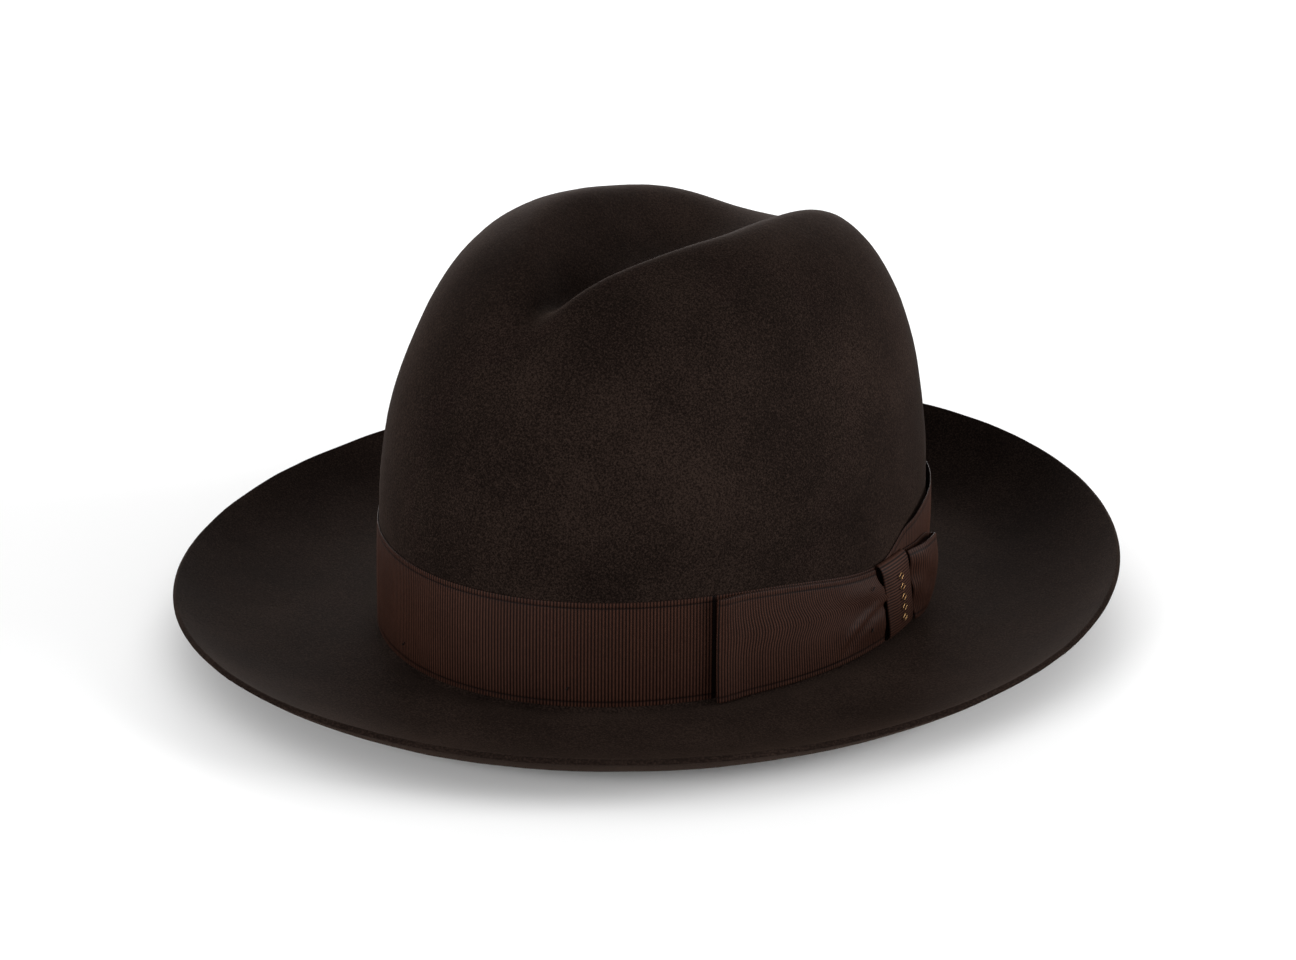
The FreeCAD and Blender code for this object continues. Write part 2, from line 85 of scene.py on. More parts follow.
band_low, band_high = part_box("hatband_ribbon")
oval = ((band_high.x - band_low.x) / 2.0, (band_high.y - band_low.y) / 2.0)


def node_points(node):
    mesh = nodes[node].data
    points = np.empty(len(mesh.vertices) * 3)
    mesh.vertices.foreach_get("co", points)
    return points.reshape(-1, 3)


def node_tree(node):
    mesh = nodes[node].data
    return BVHTree.FromPolygons([v.co for v in mesh.vertices], [p.vertices for p in mesh.polygons])


def bearing(angle):
    """Unit vectors, level, towards these angles of the oval."""
    a = np.radians(angle)
    way = np.stack([oval[0] * np.sin(a), -oval[1] * np.cos(a), np.zeros_like(a)], -1)
    return way / np.linalg.norm(way, axis=-1, keepdims=True)


def series(angle, z):
    """Terms of the wall's radius at these angles and heights."""
    a = np.radians(angle)
    level = (z - (WALL_LOW + WALL_HIGH) / 2.0) / (WALL_HIGH - WALL_LOW) * 2.0
    round_terms = [np.ones_like(a)]
    for k in range(1, HARMONICS + 1):
        round_terms += [np.cos(k * a), np.sin(k * a)]
    return np.stack([r * level ** n for r in round_terms for n in range(POWERS)], -1)


def fit_wall():
    tree = node_tree("felt_body")
    angles, heights = np.meshgrid(
        np.arange(SAMPLES_ROUND) * 360.0 / SAMPLES_ROUND, np.linspace(WALL_LOW, WALL_HIGH, SAMPLES_UP))
    ways = bearing(angles)
    far = np.hypot(oval[0] * np.sin(np.radians(angles)), oval[1] * np.cos(np.radians(angles))) * OUTSIDE_WALL
    radii = np.empty(angles.shape)
    for index in np.ndindex(*angles.shape):
        start = Vector(ways[index]) * far[index] + Vector((0, 0, heights[index]))
        radii[index] = far[index] - tree.ray_cast(start, -Vector(ways[index]))[3]
    terms = series(angles.ravel(), heights.ravel())
    return np.linalg.lstsq(terms, radii.ravel(), rcond=None)[0]


wall_terms = fit_wall()

RIM_BINS = 60                  # directions in which a strip's edge is looked for
RIM_HARMONICS = 6


def rim(node, highest):
    """The height of a closed strip's top or bottom edge, as a function of the angle."""
    points = node_points(node)
    angles = np.arctan2(points[:, 0] / oval[0], -points[:, 1] / oval[1])
    sign = 1.0 if highest else -1.0
    bins = np.floor((angles + math.pi) / (2.0 * math.pi) * RIM_BINS).astype(int) % RIM_BINS
    found = [np.flatnonzero(bins == k) for k in range(RIM_BINS)]
    edge = np.array([f[np.argmax(sign * points[f, 2])] for f in found if len(f)])

    def terms(a):
        waves = [f(k * a) for k in range(1, RIM_HARMONICS + 1) for f in (np.cos, np.sin)]
        return np.stack(waves + [1.0 + 0 * a], -1)

    shares = np.linalg.lstsq(terms(angles[edge]), points[edge, 2], rcond=None)[0]
    return lambda angle: terms(np.radians(angle)) @ shares


def wall_climb():
    """How much further up heights run in front than at the sides, from the leather's level top edge."""
    top = rim("sweatband_leather", True)(np.array([0.0, 180.0]))
    return (top[0] - top[1]) / (top[0] + top[1])


CLIMB = wall_climb()
SLOPE_ANGLE, SLOPE_HEIGHT = 0.2, 1 * MM        # steps over which the wall's slope is taken


def bare_wall(angle, z):
    radius = series(angle, np.clip(z, WALL_LOW, WALL_HIGH)) @ wall_terms
    return bearing(angle) * radius[..., None] + np.stack([0 * z, 0 * z, z], -1)


def wall(angle, height, depth):
    """Points on the crown's wall at this height along it, standing depth off the felt."""
    angle, height, depth = np.broadcast_arrays(
        np.asarray(angle, float), np.asarray(height, float), np.asarray(depth, float))
    z = height * (1.0 + CLIMB * np.cos(np.radians(angle)))
    round_way = bare_wall(angle + SLOPE_ANGLE, z) - bare_wall(angle - SLOPE_ANGLE, z)
    up_way = bare_wall(angle, z + SLOPE_HEIGHT) - bare_wall(angle, z - SLOPE_HEIGHT)
    out = np.cross(round_way, up_way)
    out /= np.linalg.norm(out, axis=-1, keepdims=True)
    return bare_wall(angle, z) + out * depth[..., None]


# ---- meshes --------------------------------------------------------------------------------------

def grid_faces(rows, columns, closed, first=0, flip=False):
    """Quads of a grid of points numbered row by row from first."""
    r, c = np.meshgrid(np.arange(rows - 1), np.arange(columns if closed else columns - 1), indexing="ij")
    right = (c + 1) % columns
    low, high = r * columns, (r + 1) * columns
    quads = np.stack([low + c, low + right, high + right, high + c], -1)
    quads = quads.reshape(-1, 4) + first
    return quads[:, ::-1] if flip else quads


def mark(piece, name, values):
    """Keeps one number for each point of the mesh, for its material to read."""
    attribute = piece.data.attributes.new(name, "FLOAT", "POINT")
    attribute.data.foreach_set("value", values.astype(np.float32).ravel())


def make_object(name, points, faces, material):
    mesh = bpy.data.meshes.new(name)
    mesh.from_pydata(points.tolist(), [], faces.tolist())
    mesh.polygons.foreach_set("use_smooth", [True] * len(mesh.polygons))
    mesh.materials.append(material)
    mesh.update()
    piece = bpy.data.objects.new(name, mesh)
    bpy.context.scene.collection.objects.link(piece)
    return piece


def sheet_normals(centre, closed):
    """Unit normals of a grid of points, rows by columns."""
    if closed:
        along = np.roll(centre, -1, axis=1) - np.roll(centre, 1, axis=1)
    else:
        along = np.gradient(centre, axis=1)
    normals = np.cross(along, np.gradient(centre, axis=0))
    return normals / np.linalg.norm(normals, axis=-1, keepdims=True)


def slab(name, outer, inner, closed, material):
    """Closed sheet between two grids of points. The first grid is the face that is seen."""
    rows, columns = outer.shape[:2]
    count = rows * columns
    points = np.concatenate([outer.reshape(-1, 3), inner.reshape(-1, 3)])
    faces = [grid_faces(rows, columns, closed), grid_faces(rows, columns, closed, count, flip=True)]
    index = np.arange(count).reshape(rows, columns)
    borders = [(index[0], False), (index[-1], True)]
    if not closed:
        borders += [(index[:, 0], True), (index[:, -1], False)]
    for border, flip in borders:
        here, there = border, np.roll(border, -1)
        if not closed or len(border) != columns:
            here, there = border[:-1], border[1:]
        strip = np.stack([here, here + count, there + count, there], -1)
        faces.append(strip[:, ::-1] if flip else strip)
    return make_object(name, points, np.concatenate(faces), material)


# ---- grosgrain ribbon ------------------------------------------------------------------------------

RIB_PITCH = 1.1 * MM
RIB_RELIEF = 0.17 * MM
RIBBON_THICKNESS = 0.42 * MM
SELVEDGE = 1.9 * MM            # from the ribbon's edge to its selvedge line
SELVEDGE_WIDTH = 0.25 * MM
POINTS_PER_RIB = 4
RIB_ROUNDNESS = 0.7            # power of the wave across a rib: less is fuller
RIB_CONTRAST = 1.9             # how much narrower the painted highlight on a rib's crest is than the rib
EDGE_RISE = 0.5 * MM           # width over which the ribs rise
EDGE_START = 0.35              # how far into that rise they are at the ribbon's edge
GROOVE_DEPTH = 0.5             # of the selvedge line, as a share of the ribs' relief
BACK_RELIEF = 0.4              # relief of the ribbon's other face, as a share
SHADE_FLAT = 0.45              # painted lightness of the ribs where they are flat, as a share
SHADE_GROOVE = 0.75            # painted shade along the selvedge line's groove


def ribbon(name, centre, closed, shadow=1.0):
    """Grosgrain ribbon along the columns of centre, with a rib across it every RIB_PITCH.

    shadow, from 0 to 1, is painted shadow: it darkens the ribbon's colour where another piece lies close
    over it.
    """
    rows, columns = centre.shape[:2]
    normals = sheet_normals(centre, closed)
    middle = centre[rows // 2]
    steps = np.linalg.norm(np.diff(middle, axis=0, append=middle[:1]), axis=-1)
    length = np.concatenate([[0.0], np.cumsum(steps)])[:columns]
    total = steps.sum() if closed else length[-1]
    ribs = max(round(total / RIB_PITCH), 1)
    wave = np.abs(np.cos(math.pi * ribs * length / total)) ** RIB_ROUNDNESS
    across = np.linalg.norm(np.diff(centre, axis=0), axis=-1).cumsum(axis=0)
    across = np.concatenate([np.zeros((1, columns)), across])
    from_edge = np.minimum(across, across[-1] - across)
    fill = smooth(from_edge / EDGE_RISE + EDGE_START)
    groove = bell((from_edge - SELVEDGE) / SELVEDGE_WIDTH)
    height = RIB_RELIEF * (wave[None, :] * fill - 1.0) - GROOVE_DEPTH * RIB_RELIEF * groove
    half = RIBBON_THICKNESS / 2.0
    outer = centre + normals * (half + height)[..., None]
    inner = centre - normals * (half + BACK_RELIEF * height)[..., None]
    piece = slab(name, outer, inner, closed, grosgrain)
    # Painted light and shade: the colour is lighter on the ribs' crests and darker in the grooves between
    # them, over their real relief.
    shade = wave[None, :] ** RIB_CONTRAST * (SHADE_FLAT + (1.0 - SHADE_FLAT) * fill)
    # Painted shade in the selvedge line's groove, and the painted shadow passed in.
    shade = shade * (1.0 - SHADE_GROOVE * groove) * shadow
    mark(piece, "rib", np.concatenate([shade.ravel(), shade.ravel()]))
    return piece


EDGE_ROWS = (0.0, 0.25, 0.6, 1.1, 1.6, 1.9, 2.2, 2.7)      # millimetres from the edge, close at the selvedge


def rows_across(width, inner=12):
    """Shares across a ribbon, closer together at its edges and selvedge lines, with inner ones between."""
    edge = np.array(EDGE_ROWS) * MM / width
    inside = np.linspace(edge[-1], 1.0 - edge[-1], inner + 2)[1:-1]
    return np.concatenate([edge, inside, 1.0 - edge[::-1]])


# ---- materials ---------------------------------------------------------------------------------------

class Nodes:
    """Short hand for building one material's node tree."""

    def __init__(self, name):
        self.material = bpy.data.materials.new(name)
        self.material.use_nodes = True
        self.tree = self.material.node_tree
        self.surface = self.tree.nodes["Principled BSDF"]
        self.place = self.tree.nodes.new("ShaderNodeTexCoord").outputs["Object"]

    def node(self, kind, settings=None, **inputs):
        made = self.tree.nodes.new(kind)
        for key, value in (settings or {}).items():
            setattr(made, key, value)
        for key, value in inputs.items():
            self.put(made.inputs[key.replace("_", " ")], value)
        return made

    def put(self, socket, value):
        if isinstance(value, bpy.types.NodeSocket):
            self.tree.links.new(value, socket)
        else:
            socket.default_value = value

    def noise(self, scale, detail=3.0, roughness=0.55, stretch=(1, 1, 1)):
        """Noise with this many cells a metre, stretched along the axes."""
        place = self.node("ShaderNodeMapping", Vector=self.place, Scale=stretch).outputs[0]
        return self.node(
            "ShaderNodeTexNoise", Vector=place, Scale=scale, Detail=detail, Roughness=roughness).outputs[0]

    def cells(self, scale, feature="F1"):
        return self.node(
            "ShaderNodeTexVoronoi", {"feature": feature}, Vector=self.place, Scale=scale).outputs[0]

    def ramp(self, value, *stops):
        made = self.node("ShaderNodeValToRGB", Fac=value)
        while len(made.color_ramp.elements) < len(stops):
            made.color_ramp.elements.new(0.5)
        for element, (position, colour) in zip(made.color_ramp.elements, stops):
            element.position = position
            element.color = (*colour, 1.0)
        return made.outputs[0]

    def span(self, value, low, high):
        """Value from 0 to 1, spread from low to high."""
        return self.node("ShaderNodeMapRange", Value=value, To_Min=low, To_Max=high).outputs[0]

    def maths(self, operation, a, b):
        made = self.node("ShaderNodeMath", {"operation": operation})
        self.put(made.inputs[0], a)
        self.put(made.inputs[1], b)
        return made.outputs[0]

    def bump(self, height, strength, distance, under=None):
        made = self.node("ShaderNodeBump", Height=height, Strength=strength, Distance=distance)
        if under is not None:
            self.put(made.inputs["Normal"], under)
        return made.outputs[0]

    def finish(self, **inputs):
        for key, value in inputs.items():
            self.put(self.surface.inputs[key.replace("_", " ")], value)
        return self.material


def felt_material():
    """Fine brushed fur felt: matt, mottled, with a soft nap that lights up at grazing angles."""
    n = Nodes("felt")
    clouds = n.noise(28.0, 3.0)
    fibres = n.noise(1700.0, 4.0, 0.7)
    flecks = n.noise(620.0, 2.0, 0.6)
    mottle = n.maths("ADD", n.maths("MULTIPLY", clouds, 0.22), n.maths("MULTIPLY", fibres, 0.78))
    colour = n.ramp(
        mottle, (0.40, (0.0032, 0.0019, 0.0015)), (0.50, (0.0076, 0.0047, 0.0037)),
        (0.60, (0.0180, 0.0115, 0.0090)))
    relief = n.bump(flecks, 0.35, 0.25 * MM)
    relief = n.bump(fibres, 0.55, 0.12 * MM, relief)
    return n.finish(
        Base_Color=colour, Roughness=n.span(clouds, 0.88, 0.98), Normal=relief,
        Specular_IOR_Level=0.02, Sheen_Weight=0.026, Sheen_Roughness=0.42, Sheen_Tint=(1.0, 0.66, 0.50, 1.0))


def grosgrain_material():
    """Grosgrain: painted shade in the grooves between its ribs and painted highlight on their crests, and
    wound with fine bright threads.
    """
    n = Nodes("ribbon")
    # rib carries the ribs' painted light and shade, the selvedge line's painted shade and any painted
    # shadow.
    rib = n.node("ShaderNodeAttribute", {"attribute_name": "rib"}).outputs["Fac"]
    threads = n.noise(2600.0, 2.0, 0.5, (1.0, 1.0, 0.35))
    fade = n.noise(60.0, 3.0)
    worn = n.maths("ADD", n.maths("MULTIPLY", threads, 0.5), n.maths("MULTIPLY", fade, 0.35))
    tone = n.maths("MULTIPLY", rib, n.maths("ADD", worn, 0.55))
    colour = n.ramp(
        tone, (0.10, (0.0012, 0.0005, 0.0004)), (0.55, (0.0145, 0.0057, 0.0037)),
        (1.0, (0.0410, 0.0168, 0.0108)))
    return n.finish(
        Base_Color=colour, Roughness=n.span(threads, 0.46, 0.64), Normal=n.bump(threads, 0.4, 0.06 * MM),
        Specular_IOR_Level=0.05, Sheen_Weight=0.018, Sheen_Roughness=0.35, Sheen_Tint=(1.0, 0.55, 0.40, 1.0))


def weave_material(name, dark, light, gloss):
    """Plain close weave of a tape or a woven tag."""
    n = Nodes(name)
    threads = n.noise(2600.0, 2.0, 0.5, (1.0, 1.0, 0.35))
    return n.finish(
        Base_Color=n.ramp(threads, (0.30, dark), (0.70, light)),
        Roughness=n.span(threads, gloss - 0.07, gloss + 0.12),
        Normal=n.bump(threads, 0.5, 0.08 * MM), Specular_IOR_Level=0.2, Sheen_Weight=0.05)


def thread_material(name, dark, light, roughness=0.6):
    n = Nodes(name)
    twist = n.noise(4200.0, 2.0, 0.5)
    return n.finish(
        Base_Color=n.ramp(twist, (0.3, dark), (0.7, light)),
        Roughness=n.span(twist, roughness - 0.1, roughness + 0.15),
        Normal=n.bump(twist, 0.5, 0.05 * MM), Specular_IOR_Level=0.15)


def metal_thread_material():
    n = Nodes("metal_thread")
    wear = n.noise(1900.0, 2.0)
    return n.finish(
        Base_Color=n.ramp(wear, (0.3, (0.12, 0.062, 0.024)), (0.7, (0.36, 0.22, 0.10))), Metallic=1.0,
        Roughness=n.span(wear, 0.28, 0.5), Normal=n.bump(wear, 0.4, 0.05 * MM))


def leather_material():
    """Smooth roan leather: fine pebbled grain, faint creases and a slightly polished surface."""
    n = Nodes("sweatband_leather")
    grain = n.cells(1500.0, "SMOOTH_F1")
    creases = n.noise(260.0, 4.0, 0.6, (1.0, 1.0, 2.5))
    tone = n.noise(45.0, 3.0)
    colour = n.ramp(tone, (0.30, (0.050, 0.021, 0.010)), (0.70, (0.092, 0.042, 0.021)))
    relief = n.bump(creases, 0.25, 0.3 * MM)
    relief = n.bump(grain, 0.45, 0.12 * MM, relief)
    return n.finish(
        Base_Color=colour, Roughness=n.span(tone, 0.36, 0.52), Normal=relief,
        Specular_IOR_Level=0.5, Coat_Weight=0.12, Coat_Roughness=0.35)


def satin_material(name, dark, light, gloss=0.34):
    """Satin: a close weave with a soft, directional gloss."""
    n = Nodes(name)
    weave = n.noise(3200.0, 2.0, 0.5, (0.4, 0.4, 1.6))
    drift = n.noise(34.0, 3.0)
    relief = n.bump(drift, 0.5, 0.9 * MM)
    relief = n.bump(weave, 0.25, 0.04 * MM, relief)
    return n.finish(
        Base_Color=n.ramp(weave, (0.3, dark), (0.7, light)),
        Roughness=n.span(weave, gloss - 0.06, gloss + 0.1),
        Normal=relief, Sheen_Weight=0.12, Sheen_Roughness=0.3, Specular_IOR_Level=0.55)


def film_material():
    n = Nodes("clear_film")
    haze = n.noise(120.0, 3.0)
    return n.finish(
        Base_Color=(0.92, 0.92, 0.90, 1.0), Roughness=n.span(haze, 0.12, 0.3), Alpha=0.12,
        Normal=n.bump(haze, 0.25, 0.6 * MM), Specular_IOR_Level=0.6)


def floor_material():
    n = Nodes("floor")
    return n.finish(Base_Color=(0.93, 0.93, 0.93, 1.0), Roughness=0.9, Specular_IOR_Level=0.1)


felt = felt_material()
grosgrain = grosgrain_material()
ribbon_thread = thread_material("ribbon_thread", (0.0016, 0.0007, 0.0005), (0.006, 0.0026, 0.0018), 0.8)
metal_thread = metal_thread_material()
leather = leather_material()
lining = satin_material("lining", (0.060, 0.034, 0.020), (0.135, 0.082, 0.050))
piping = satin_material("piping", (0.11, 0.066, 0.040), (0.20, 0.13, 0.08), 0.3)
lining_thread = thread_material("lining_thread", (0.09, 0.055, 0.033), (0.17, 0.11, 0.07))
leather_thread = thread_material("sweatband_thread", (0.17, 0.10, 0.055), (0.32, 0.21, 0.12), 0.5)
tape = weave_material("tape", (0.022, 0.013, 0.010), (0.045, 0.028, 0.021), 0.8)
trim = satin_material("trim_ribbon", (0.022, 0.010, 0.007), (0.052, 0.024, 0.016), 0.32)
tag = weave_material("tag", (0.38, 0.34, 0.28), (0.55, 0.50, 0.42), 0.75)
reed = satin_material("reed", (0.035, 0.017, 0.010), (0.060, 0.030, 0.018), 0.45)
film = film_material()

CAD_MATERIALS = {
    "knot_thread": metal_thread,
    "hatband_tacks": ribbon_thread,
    "bow_tacks": ribbon_thread,
    "sweatband_reed": reed,
    "sweatband_stitching": leather_thread,
    "sweatband_back_seam": leather_thread,
}


def dress(node, material):
    """Gives a carried-over CAD node its finish."""
    mesh = nodes[node].data
    mesh.materials.clear()
    mesh.materials.append(material)


for name, material in CAD_MATERIALS.items():
    dress(name, material)


def place(piece, slot, *replaced):
    """Every piece rides on the one body; replaced are the CAD nodes that it stands for."""
    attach(piece, "root")
    if replaced:
        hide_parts(*replaced)
    return piece


# ---- felt ----------------------------------------------------------------------------------------------

WELD = 1e-6                    # points nearer than this are one
UNEVEN = 0.35 * MM             # how far the felt strays from the smooth blocked form
BROAD_HOLLOWS, FINE_HOLLOWS = 26.0, 75.0       # noise cells in a metre
FINE_SHARE = 0.4               # strength of the fine ones
OUTWARD_BIAS = 0.7             # keeps most of the unevenness outside the form
CROWN_FREE = 40 * MM           # above this height no trimming lies on the crown
CROWN_FADE = 12 * MM
CROWN_REACH = 1.05             # in ovals of the band, where the crown ends
BRIM_START, BRIM_FADE = 1.1, 0.2               # and where the brim begins


def welded(node):
    """Points and triangles of a CAD node, with the points that coincide joined."""
    mesh = nodes[node].data
    points = node_points(node)
    corners = np.empty(len(mesh.polygons) * 3, dtype=int)
    mesh.polygons.foreach_get("vertices", corners)
    _, first, index = np.unique(np.round(points / WELD), axis=0, return_index=True, return_inverse=True)
    triangles = index.ravel()[corners].reshape(-1, 3)
    whole = (np.diff(np.sort(triangles, axis=1), axis=1) > 0).all(axis=1)
    return points[first], triangles[whole]


def point_normals(points, triangles):
    a, b, c = (points[triangles[:, k]] for k in range(3))
    normals = np.zeros_like(points)
    for k in range(3):
        np.add.at(normals, triangles[:, k], np.cross(b - a, c - a))
    return normals / np.linalg.norm(normals, axis=1, keepdims=True)


def felt_shell():
    """Crown and brim, with the slight unevenness of felt that was blocked and brushed by hand."""
    points, triangles = welded("felt_body")
    normals = point_normals(points, triangles)
    hollows = np.array([
        noise.noise(Vector(p) * BROAD_HOLLOWS) + FINE_SHARE * noise.noise(Vector(p) * FINE_HOLLOWS)
        for p in points])
    reach = np.hypot(points[:, 0] / oval[0], points[:, 1] / oval[1])
    outer_face = (normals * (points - [0, 0, CROWN_FREE])).sum(axis=1) > 0
    on_crown = smooth((points[:, 2] - CROWN_FREE) / CROWN_FADE) * (reach < CROWN_REACH) * outer_face
    on_brim = smooth((reach - BRIM_START) / BRIM_FADE)
    points += normals * (UNEVEN * on_crown * (hollows + OUTWARD_BIAS))[:, None]
    points[:, 2] += UNEVEN * on_brim * hollows
    return make_object("felt", points, triangles, felt)


place(felt_shell(), "felt", "felt_body")


# ---- hatband -----------------------------------------------------------------------------------------

BAND_BOTTOM, BAND_HIGH = 1.2 * MM, 36.3 * MM
BAND_LEVEL = 0.8 * MM          # evens out its top edge, where heights run further up in front
BAND_RISE = 2.4 * MM           # how much higher the top edge is behind the knot
RISE_START, RISE_RUN = 96.0, 20.0
RISE_END, RISE_FALL = 150.0, 60.0
KNOT_PULL = 7.2 * MM           # how far the knot draws the band's top edge down
PULL_AT, PULL_AHEAD, PULL_BEHIND = 92.0, 20.0, 8.0         # its middle and its spread on either side
STAND_OFF = 1.3 * MM           # of the ribbon behind the knot
STAND_START, STAND_RUN = 101.0, 6.0
STAND_END, STAND_FALL = 132.0, 16.0
STAND_FULL = 32 * MM           # height at which it is whole
BAND_DEPTH = 0.36 * MM         # middle of the ribbon, off the felt
BAND_ROWS = 5                  # between its selvedges
BOW_FRONT = 51.5               # the front wing's fold
FOLD_SHADOW, FOLD_SHADOW_WIDTH = 0.9, 0.4      # painted shadow on the band just ahead of the bow's fold


def band_top(angle):
    """Height of the hatband's top edge."""
    angle = np.asarray(angle, float)
    a = np.radians(angle)
    pull = KNOT_PULL * bell((angle - PULL_AT) / np.where(angle < PULL_AT, PULL_AHEAD, PULL_BEHIND))
    behind = smooth((angle - RISE_START) / RISE_RUN) * (1.0 - smooth((angle - RISE_END) / RISE_FALL))
    return BAND_HIGH - BAND_LEVEL * np.cos(a) + BAND_RISE * behind - pull


def stand_off(angle, height):
    """How far the ribbon stands off the felt behind the knot, most at its top edge."""
    behind = smooth((angle - STAND_START) / STAND_RUN) * (1.0 - smooth((angle - STAND_END) / STAND_FALL))
    return STAND_OFF * behind * smooth(height / STAND_FULL)


def hatband():
    girth = math.pi * (oval[0] + oval[1])
    ribs = round(girth / RIB_PITCH)
    angles = np.arange(ribs * POINTS_PER_RIB) * 360.0 / (ribs * POINTS_PER_RIB)
    top = band_top(angles)[None, :]
    shares = rows_across(BAND_HIGH - BAND_BOTTOM, BAND_ROWS)[:, None]
    height = BAND_BOTTOM + (top - BAND_BOTTOM) * shares
    centre = wall(angles[None, :], height, BAND_DEPTH + stand_off(angles[None, :], height))
    # Painted shadow: the band's colour is darkened just ahead of the front wing's fold, where the lifted
    # fold shades it.
    shadow = 1.0 - FOLD_SHADOW * bell((angles - BOW_FRONT + FOLD_SHADOW_WIDTH) / FOLD_SHADOW_WIDTH)
    return ribbon("hatband", centre, True, shadow[None, :])


band_piece = place(hatband(), "ribbon", "hatband_ribbon")


# ---- bow ---------------------------------------------------------------------------------------------

BOW_FACE = 0.74 * MM           # the bow's inner face, off the felt
BOW_BACK = 117.0               # the rear loop's fold
BOW_LOW = 0.9 * MM
WING_INSET = 0.3 * MM          # the front wing's top edge under the band's
LOOP_LOW, LOOP_HIGH = 1.5 * MM, 28.8 * MM
LOOP_ROUND = 4.5 * MM          # how much the rear loop's corners are rounded off at its fold
LOOP_CORNER = 4                # how late they are rounded
LOOP_BULGE = 3.6 * MM
PUFF_FOLD, PUFF_CURVE = 0.15, 1.2              # a third full at its fold, fullest halfway, flat at the knot
PUFF_EDGE = 0.12               # how far it is into its swell at its upper and lower edge
LOOP_GAP = 2.0 * MM            # between its two layers
LOOP_PLEAT = 0.5 * MM
LOOP_DENT = 1.6 * MM           # hollow in its face, towards the knot
KNOT_FRONT, KNOT_BACK = 90.5, 100.5            # the knot's edges at its top
KNOT_SLANT = 4.0               # how far its lower end leans back
KNOT_LOW, KNOT_HIGH = 0.6 * MM, 29.4 * MM
KNOT_THICKNESS, KNOT_CROWN = 2.7 * MM, 0.9 * MM
KNOT_SINK = 0.12 * MM          # keeps the strap under its metallic thread
FOLD_GAP = 0.8 * MM            # between the two layers of the front wing
FOLD_LIFT = 2.2 * MM           # rise of its front fold off the band
KNOT_TURN = 9                  # power that turns its ends in: more is squarer
KNOT_FOLD, KNOT_FOLDS = 0.07 * MM, 3.0         # depth and number of its folds
KNOT_LEAN = 0.12               # of its folds
KNOT_ROWS, KNOT_FINER = 26, 1.2                # rows, and how much closer its columns are than elsewhere
FOLD_HOLLOW = 0.35             # how much less its middle rises than its corners, as a share
FOLD_SHARE = 0.11              # of the wing's length
FOLD_COLUMNS = 14
UNDER_KNOT = 2.6               # how far the middle of the front wing runs on under the knot
UNDER_AT, UNDER_WIDTH = 0.6, 0.13              # where it does, as shares of its height
KNOT_GAP = 1.0                 # how far that wing stays away from it elsewhere
LOOP_KNOT_GAP = 0.5            # and the rear loop
GATHER_START, GATHER_RUN = 0.6, 0.35           # shares of the front wing's length
GATHER_PLEAT, GATHER_PUFF = 0.4 * MM, 0.7 * MM
WING_PUFF = 0.25 * MM
PLEATS_ACROSS = 2.3            # of the bow's gathers
PLEAT_LEAN = 0.35              # how far the front wing's lean along it
CRESCENT = 0.9 * MM            # height of the crescent fold that runs from the knot into the front wing
CRESCENT_WIDTH, CRESCENT_BEND, CRESCENT_CURVE = 0.05, 2.4, 1.5
CRESCENT_TIP, CRESCENT_START, CRESCENT_RUN = 0.98, 0.64, 0.14
TROUGH_OFF, TROUGH_DEPTH = 0.1, 0.8            # the hollow beside the crescent, as shares
LOOP_GATHER_START, LOOP_GATHER_RUN = 0.5, 0.4
DENT_ALONG, DENT_LENGTH = 0.62, 0.22
DENT_UP, DENT_WIDTH = 0.45, 0.16


def knot_edge(at_top, v):
    return at_top + KNOT_SLANT * (1.0 - v)


def folded_path(length):
    """Shares u along a folded ribbon, with its phase round the fold.

    It runs out on the inner layer from u = 1 to the fold at u = 0 and back on the outer layer. phase is
    0 on the inner layer, 1 on the outer, and in between it is the way round the fold.
    """
    columns = int(length / RIB_PITCH * POINTS_PER_RIB)
    way = np.linspace(1.0, 0.0, columns)
    fold = np.linspace(0.0, 1.0, FOLD_COLUMNS + 2)[1:-1]
    u = np.concatenate([way, np.zeros(FOLD_COLUMNS), way[::-1]])
    phase = np.concatenate([np.zeros(columns), fold, np.ones(columns)])
    return u, phase


def folded_wing(name, near_angle, fold_angle, low, high, lift, swell, gap):
    """Ribbon doubled back on itself at fold_angle.

    It is described by u, from 0 at the fold to 1 beside the knot, and v, from 0 at its lower edge to 1 at
    its upper one. lift moves both layers off the band, and swell the outer one off the inner one.
    """
    length = abs(fold_angle - near_angle(0.5)) / 360.0 * math.pi * (oval[0] + oval[1])
    u, phase = folded_path(length)
    v = rows_across(LOOP_HIGH - LOOP_LOW)[:, None]
    u, phase = u[None, :], phase[None, :]
    turn = np.pi * phase
    apart = gap + swell(u, v)
    height = low(u) + (high(u) - low(u)) * v
    depth = BOW_FACE + RIBBON_THICKNESS / 2.0 + lift(u, v) + apart * (1.0 - np.cos(turn)) / 2.0
    ahead = np.degrees(apart * np.sin(turn) / 2.0 / oval[1])
    side = np.sign(near_angle(0.5) - fold_angle)
    angle = fold_angle + (near_angle(v) - fold_angle) * u - side * ahead
    centre = wall(angle, height, depth + stand_off(angle, height))
    return ribbon(name, centre if side > 0 else centre[:, ::-1], False)


